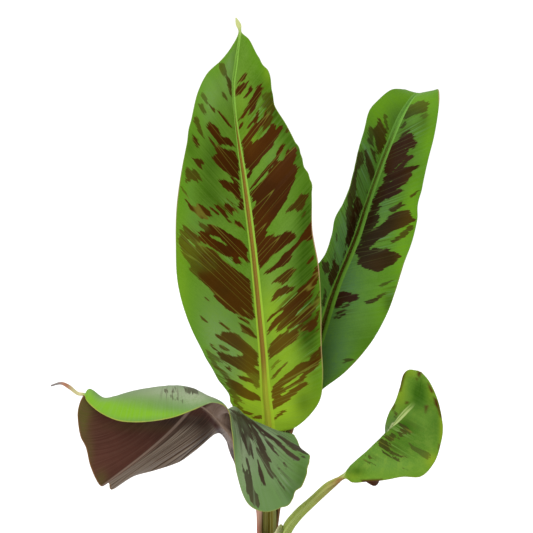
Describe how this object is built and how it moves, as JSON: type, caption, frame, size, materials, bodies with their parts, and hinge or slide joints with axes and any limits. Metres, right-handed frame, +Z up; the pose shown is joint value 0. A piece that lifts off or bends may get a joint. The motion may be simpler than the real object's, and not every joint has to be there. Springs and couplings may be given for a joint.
{
  "type": "potted blood banana plant",
  "caption": "Young banana plant with maroon-blotched leaves on a short false stem, standing in a plain clay pot filled with soil.",
  "frame": {"origin": "middle of the pot's flat underside, where the stem's axis meets the surface that the pot stands on", "axes": "+Z up along the stem; the main leaf shows its upper side towards -Y, the drooping leaf goes to -X and the small leaf to +X"},
  "size_m": [0.298, 0.1944, 0.5741],
  "materials": {
    "leaf_main": "waxy leaf, green with maroon-brown blotches",
    "leaf_rear": "waxy leaf, deeper green with near-black blotches",
    "leaf_drooping": "waxy leaf, maroon underside showing, striped green top",
    "leaf_small": "waxy leaf, green with small brown spots",
    "pseudostem": "smooth leaf sheaths, olive green and maroon",
    "soil": "loose bark and peat compost",
    "pot": "unglazed terracotta, matt"
  },
  "bodies": {
    "root": {"leaf_main": "leaf_main", "leaf_rear": "leaf_rear", "leaf_drooping": "leaf_drooping", "leaf_small": "leaf_small", "pseudostem": "pseudostem", "soil": "soil", "pot": "pot"}
  },
  "joints": []
}
